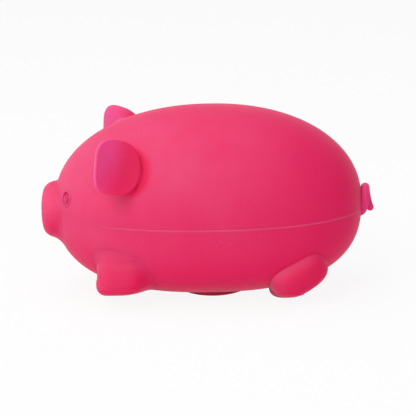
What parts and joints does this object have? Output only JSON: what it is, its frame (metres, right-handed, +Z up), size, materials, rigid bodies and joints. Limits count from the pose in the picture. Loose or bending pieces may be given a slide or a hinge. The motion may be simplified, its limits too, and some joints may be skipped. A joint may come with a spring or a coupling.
{
  "type": "pig squeeze toy",
  "caption": "Soft gel-filled squeeze toy in the shape of a plump pig, with a moulded rubber skin, snout, eyes, cupped ears, stub legs, a coiled tail and a filling port under a belly patch",
  "frame": {"origin": "on the floor under the middle of the overall length, on the plane between the pig's left and right sides", "axes": "nose towards -X, tail towards +X, the pig's left side towards -Y, up along +Z"},
  "size_m": [0.11, 0.0662, 0.0617],
  "materials": {
    "skin": "hot pink soft rubber, matte with a faint dusty sheen",
    "gel": "pale pink translucent soft gel",
    "stopper": "hot pink rubber, matte",
    "patch": "hot pink rubber, smooth and a little darker"
  },
  "bodies": {
    "belly": {"skin_lower": "skin", "gel_filling": "gel", "fill_plug": "stopper", "belly_patch": "patch", "snout": "skin", "eye_left": "skin", "eye_right": "skin", "leg_front_left": "skin", "leg_front_right": "skin", "leg_rear_left": "skin", "leg_rear_right": "skin"},
    "back": {"skin_upper": "skin"},
    "ear_left": {"ear_left": "skin"},
    "ear_right": {"ear_right": "skin"},
    "tail": {"tail": "skin"}
  },
  "joints": [
    {"name": "squeeze", "type": "slide", "parent": "belly", "child": "back", "axis": [0, 0, 1], "range_m": [-0.008, 0], "stiffness_N_per_m": 1500, "springref_m": 0.001, "deforming": ["skin_upper", "gel_filling"]},
    {"name": "ear_left_flex", "type": "hinge", "parent": "back", "child": "ear_left", "pos_m": [-0.02247, -0.02668, 0.04065], "axis": [0.5749, 0.231, 0.7849], "range_deg": [0, 35], "stiffness_Nm_per_rad": 0.01},
    {"name": "ear_right_flex", "type": "hinge", "parent": "back", "child": "ear_right", "pos_m": [-0.02247, 0.02668, 0.04065], "axis": [-0.5749, 0.231, -0.7849], "range_deg": [0, 35], "stiffness_Nm_per_rad": 0.01},
    {"name": "tail_flex", "type": "hinge", "parent": "belly", "child": "tail", "pos_m": [0.051, 0, 0.0291], "axis": [0, 0, 1], "range_deg": [-15, 15], "stiffness_Nm_per_rad": 0.004}
  ]
}
